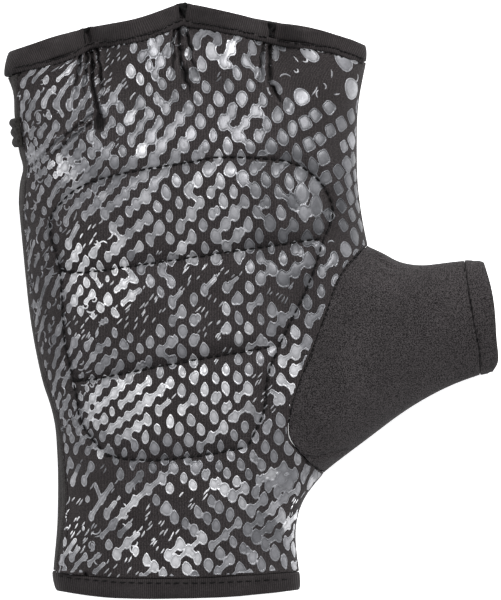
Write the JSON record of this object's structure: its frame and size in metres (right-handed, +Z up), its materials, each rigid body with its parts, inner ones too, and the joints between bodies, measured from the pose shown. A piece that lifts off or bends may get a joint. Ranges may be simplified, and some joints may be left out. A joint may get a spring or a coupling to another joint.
{
  "type": "training glove",
  "caption": "Fingerless training glove with a quilted printed palm, plain back, thumb stall and bound edges, lying palm up.",
  "frame": {"origin": "on the surface that the glove lies on, under the middle of its outline", "axes": "+Z up from the surface, out of the palm; +Y from the wrist to the fingers; +X towards the thumb"},
  "size_m": [0.1383, 0.1674, 0.0274],
  "materials": {
    "printed_palm": "dark knit with a glossy raised foil print in pewter grey",
    "foil_print": "glossy pewter transfer foil on the knit",
    "back_jersey": "plain matt knit",
    "thumb_jersey": "matt heather jersey",
    "binding_tape": "ribbed matt tape",
    "sewing_thread": "matt black thread",
    "tab_rubber": "matt ribbed rubber"
  },
  "bodies": {
    "root": {"palm_panel": "printed_palm", "back_panel": "back_jersey", "thumb_stall": "thumb_jersey", "thumb_hem": "thumb_jersey", "finger_binding": "binding_tape", "wrist_binding": "binding_tape", "finger_tack_1": "sewing_thread", "finger_tack_2": "sewing_thread", "finger_tack_3": "sewing_thread", "edge_tab": "tab_rubber"}
  },
  "joints": []
}
